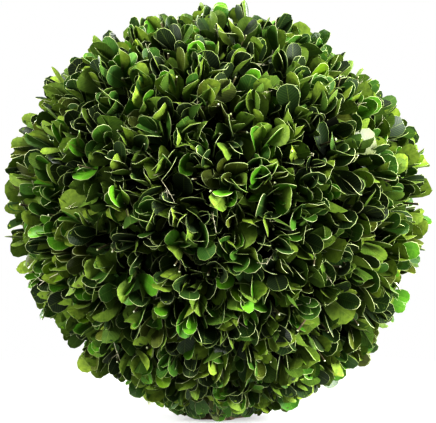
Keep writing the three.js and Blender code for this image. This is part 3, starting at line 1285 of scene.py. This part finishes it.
UNDER_GREENS = ((68, 104, 34), (158, 182, 64))
RIM_STRAWS = ((134, 156, 72), (224, 232, 178))
# Painted shade: the leaves deep inside the ball get near-black greens and a dark midrib for the shade
# there.
INNER_SHADE_GREENS = ((12, 18, 6), (28, 36, 12))
INNER_SHADE_RIB = (60, 60, 30)
underside = leaf_material("leaf_underside", UNDER_GREENS, 0.65, 0.25, rib_place=UNDER_PLACE)
rim_finish = leaf_material("leaf_rim", RIM_STRAWS, 0.5, 0.5, rib_place=0.5)
inner_shade_leaf = leaf_material("leaf_old", INNER_SHADE_GREENS, 0.75, 0.15, rib=INNER_SHADE_RIB)
print("leaf finishes:", underside.name, rim_finish.name, inner_shade_leaf.name)

# %% [markdown]
# ## Dealing out the greens
# Whole sprigs differ more than the leaves on one sprig: some shoots are old and dark, some fresh,
# some yellowed by the sun. One material with a random colour for each leaf would lose that, so a
# seeded draw deals each sprig one green, and the leaves of each green become one piece with plain
# colours of its own. The leaves deep in the ball are one more, in near-black painted shade.

# %% The greens and their leaves
UPPER_ROUGHNESS = 0.42
UPPER_GLOSS = 0.42
GREENS = {
    # name: share of sprigs, darkest and lightest green of the upper side
    "deep": (0.25, (30, 54, 22), (56, 90, 34)),
    "bottle": (0.19, (26, 42, 24), (54, 74, 40)),
    "mid": (0.26, (52, 94, 28), (88, 138, 44)),
    "fresh": (0.16, (70, 130, 22), (112, 174, 36)),
    "olive": (0.09, (66, 78, 22), (112, 122, 40)),
    "sunny": (0.04, (104, 146, 14), (152, 186, 34)),
}
FIRST_LEAF_SEED = 3
INNER_SEED = 50
green_shares = np.array([share for share, darkest, lightest in GREENS.values()])
sprig_green = rng.choice(len(GREENS), sprig_total, p=green_shares / green_shares.sum())
leaf_green = sprig_green[leaf_sprig]
leaf_rows = (leaf_place, leaf_along, leaf_facing, leaf_length)
foliage = []
for number, (name, (_, darkest, lightest)) in enumerate(GREENS.items()):
    chosen = (leaf_green == number) & ~leaf_inner
    rows = [row[chosen] for row in leaf_rows]
    upper = leaf_material(f"leaf_{name}", (darkest, lightest), UPPER_ROUGHNESS, UPPER_GLOSS)
    finishes = (upper, underside, rim_finish)
    foliage.append(set_out(f"leaves_{name}", outer_shapes, rows, finishes, FIRST_LEAF_SEED + number))
# The leaves deep inside wear the near-black painted shade.
rows = [row[leaf_inner] for row in leaf_rows]
foliage.append(set_out("leaves_inner", inner_shapes, rows, [inner_shade_leaf] * 3, INNER_SEED))

# %% [markdown]
# ## Buds, cut shoots and bare twiglets
# Every second sprig ends in a bud. Other shoots were cut across at the clipped surface, and here
# and there a bare, forked twiglet has dried pale. They could be left out, for they are few and
# small, but they are what tells a clipped ball from a heap of leaves.

# %% Setting out the buds
BUD_LENGTHS = (2.0 * MM, 3.4 * MM)
BUDDED_SHARE = 0.5
BUD_SEED = 60
BUD_SKINS = ((150, 168, 96), (206, 214, 150))
BUD_TIPS = ((206, 214, 160), (246, 248, 226))
bud_skin = leaf_material("bud_skin", BUD_SKINS, 0.6, 0.3, rib_place=0.5)
bud_tip = leaf_material("bud_tip", BUD_TIPS, 0.5, 0.4, rib_place=0.5)
budded = rng.random(sprig_total) < BUDDED_SHARE
bud_lengths = rng.uniform(*BUD_LENGTHS, sprig_total)
bud_rows = (sprig_ends, sprig_lean, across(sprig_lean)[0], bud_lengths)
bud_rows = [row[budded] for row in bud_rows]
buds = set_out("buds", bud_shapes, bud_rows, (bud_skin, bud_skin, bud_tip), BUD_SEED)

# %% Setting out the cut shoots
CUT_COUNT = 260
CUT_LENGTHS = (12 * MM, 20 * MM)
CUT_SHORTFALL = (6 * MM, 18 * MM)
CUT_TILT = 0.25
CUT_SCATTER = 2 * SPRIG_SCATTER
CUT_SEED = 61
cut_ways = spread_directions(CUT_COUNT, CUT_SCATTER)
cut_surface = np.array([surface_point(way) for way in cut_ways])
cut_lean = unit(cut_ways + CUT_TILT * rng.normal(0, 1, (CUT_COUNT, 3)))
cut_length = rng.uniform(*CUT_LENGTHS, CUT_COUNT)
cut_end = cut_surface - cut_ways * rng.uniform(*CUT_SHORTFALL, CUT_COUNT)[:, None]
cut_foot = cut_end - cut_lean * cut_length[:, None]
cut_rows = (cut_foot, cut_lean, across(cut_lean)[0], cut_length)
cut_finishes = (bud_skin, barks["bark_twig"], bud_tip)
cut_shoots = set_out("cut_shoots", cut_shapes, cut_rows, cut_finishes, CUT_SEED)

# %% Bare twiglets
TWIGLET_COUNT = 90
TWIGLET_SCATTER = 4 * SPRIG_SCATTER
TWIGLET_LENGTHS = (14 * MM, 26 * MM)
TWIGLET_RADIUS = 0.32 * MM
TWIGLET_TAPER = 0.6
TWIGLET_SHORTFALL = (0 * MM, 16 * MM)
TWIGLET_TILT = 2 * CUT_TILT
TWIGLET_BOW = 0.08
TWIGLET_STEPS = 4
SIDE_LINES = 3
SIDE_SPREAD = 0.5
SIDE_FEET = (0.45, 0.85)
SIDE_REACH = (0.2, 0.45)
SIDE_PULL = 0.4
SIDE_STEPS = 3
SIDE_TAPER = (0.7, 0.45)


def twiglet(end, lean, length):
    """A bare main line with a few finer side lines near its end."""
    start = end - lean * length
    bow = (start + end) / 2 + rng.normal(0, TWIGLET_BOW * length, 3)
    lines = [(bent_line(start, bow, end, TWIGLET_STEPS), TWIGLET_RADIUS, TWIGLET_TAPER * TWIGLET_RADIUS)]
    for _ in range(SIDE_LINES):
        foot = start + (end - start) * rng.uniform(*SIDE_FEET)
        way = unit(lean + SIDE_SPREAD * rng.normal(0, 1, 3))
        reach = rng.uniform(*SIDE_REACH) * length
        pull = foot + lean * SIDE_PULL * reach
        curve = bent_line(foot, pull, foot + way * reach, SIDE_STEPS)
        lines.append((curve, *(taper * TWIGLET_RADIUS for taper in SIDE_TAPER)))
    return lines


twiglet_lines = []
for way in spread_directions(TWIGLET_COUNT, TWIGLET_SCATTER):
    end = np.array(surface_point(way)) - way * rng.uniform(*TWIGLET_SHORTFALL)
    lean = unit(way + TWIGLET_TILT * rng.normal(0, 1, 3))
    twiglet_lines += twiglet(end, lean, rng.uniform(*TWIGLET_LENGTHS))
inputs = {"Sides": 4, "Steps Along": 0, "Relief": 0.0, "Bark": barks["bare_wood"]}
twiglets = grown_piece("twiglets", line_mesh("twiglet_lines", twiglet_lines), limbs_from_lines, inputs)

# %% Leaves take the place of the frame's ball
for piece in foliage:
    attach(piece, "root")
    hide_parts("leaf_ball")
for piece in (buds, cut_shoots, twiglets):
    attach(piece, "root")
for collection in (outer_shapes, inner_shapes, bud_shapes, cut_shapes):
    bpy.data.collections.remove(collection)
print(len(foliage), "pieces of leaves, and", buds.name, cut_shoots.name, twiglets.name)

# %% [markdown]
# ## Floor
# The ball stands on a pale studio sweep. A real sweep curves up behind the object and gets lost
# in the light; a plain big floor would show its horizon. Here the floor grows see-through with
# distance, which does what a sweep does with one face and keeps only the soft shadow near the
# plant.

# %% A pale floor that fades away
FLOOR_HALF = 20
FLOOR_WHITE = (0.93, 0.93, 0.93, 1)
FLOOR_ROUGHNESS = 0.9
FLOOR_COVER = 0.5
FADE_REACH = (0.02, 0.42)

floor_mesh = bpy.data.meshes.new("floor")
floor_corners = [(x * FLOOR_HALF, y * FLOOR_HALF, 0) for x, y in ((-1, -1), (1, -1), (1, 1), (-1, 1))]
floor_mesh.from_pydata(floor_corners, [], [(0, 1, 2, 3)])
floor = scene_object("floor", floor_mesh)
floor_material, floor_tree, floor_shader = blank_material("pale_floor")
floor_shader.inputs["Base Color"].default_value = FLOOR_WHITE
floor_shader.inputs["Roughness"].default_value = FLOOR_ROUGHNESS
floor_place = add_node(floor_tree, "ShaderNodeTexCoord").outputs["Object"]
floor_away = add_node(floor_tree, "ShaderNodeVectorMath", {0: floor_place}, operation="LENGTH")
floor_alpha = stretched(floor_tree, floor_away.outputs["Value"], *FADE_REACH, FLOOR_COVER, 0.0)
floor_tree.links.new(floor_alpha, floor_shader.inputs["Alpha"])
floor_mesh.materials.append(floor_material)
print("the floor fades out", FADE_REACH[1], "m from the middle")

# %% [markdown]
# ## Light
# One lamp would leave half the ball black, and an even white room would wash out its hollows. So
# two softboxes stand well to the left and right of the viewer, one hangs over the ball and two
# stand behind it: its edges are bright from every side and the hollows that face the viewer stay
# dark. The room itself gives only a little fill, but is white to the camera.

# %% Softboxes and room
ROOM_FILL = 0.32
VIEW_GAMMA = 0.8
SOFTBOXES = (
    # name, place right, up and back of the ball's middle, side, power
    ("right softbox", (1.3, 0.3, -0.75), 0.6, 64),
    ("left softbox", (-1.35, 0.5, -0.65), 0.5, 34),
    ("top softbox", (0.2, 1.5, -0.2), 0.6, 37),
    ("right back softbox", (1.1, 0.3, 1.1), 0.7, 38),
    ("left back softbox", (-1.1, 0.3, 1.1), 0.7, 40),
)

world = bpy.data.worlds.new("studio")
bpy.context.scene.world = world
world.use_nodes = True
background = world.node_tree.nodes["Background"]
background.inputs["Color"].default_value = (1, 1, 1, 1)
to_camera = add_node(world.node_tree, "ShaderNodeLightPath").outputs["Is Camera Ray"]
room_light = stretched(world.node_tree, to_camera, 0.0, 1.0, ROOM_FILL, 1.0)
world.node_tree.links.new(room_light, background.inputs["Strength"])

for name, (right, up, back), side, power in SOFTBOXES:
    lamp_data = bpy.data.lights.new(name, "AREA")
    lamp_data.size = side
    lamp_data.energy = power
    lamp = scene_object(name, lamp_data)
    lamp.location = ball_middle + Vector((right, back, up))
    lamp.rotation_mode = "QUATERNION"
    lamp.rotation_quaternion = (ball_middle - lamp.location).to_track_quat("-Z", "Y")
    lamp.visible_camera = False
bpy.context.scene.view_settings.view_transform = "Standard"
bpy.context.scene.view_settings.gamma = VIEW_GAMMA
print(len(SOFTBOXES), "softboxes and a room fill of", ROOM_FILL)

# %% [markdown]
# ## Camera
# The viewer looks at the ball almost level. A wide lens close by would fill the frame too, but
# makes the near leaves too big; a long lens from well back keeps the ball round.

# %% Looking at the front
CAMERA_ANGLE_UP = math.radians(2)
CAMERA_DISTANCE = 1.4
FRAME_ACROSS = 0.3195
AIM_OFFSET = Vector((0.0007, 0.0, -0.004))
SENSOR = 36
NEAREST_SEEN = 0.05
FARTHEST_SEEN = 60

camera_data = bpy.data.cameras.new("camera")
camera = scene_object("camera", camera_data)
towards_camera = Vector((0, -math.cos(CAMERA_ANGLE_UP), math.sin(CAMERA_ANGLE_UP)))
camera.location = ball_middle + towards_camera * CAMERA_DISTANCE + AIM_OFFSET
camera.rotation_mode = "QUATERNION"
camera.rotation_quaternion = (-towards_camera).to_track_quat("-Z", "Y")
camera_data.sensor_width = SENSOR
camera_data.lens = SENSOR * CAMERA_DISTANCE / FRAME_ACROSS
camera_data.clip_start = NEAREST_SEEN
camera_data.clip_end = FARTHEST_SEEN
bpy.context.scene.camera = camera
print("a lens of", round(camera_data.lens), "mm, from", CAMERA_DISTANCE, "m")
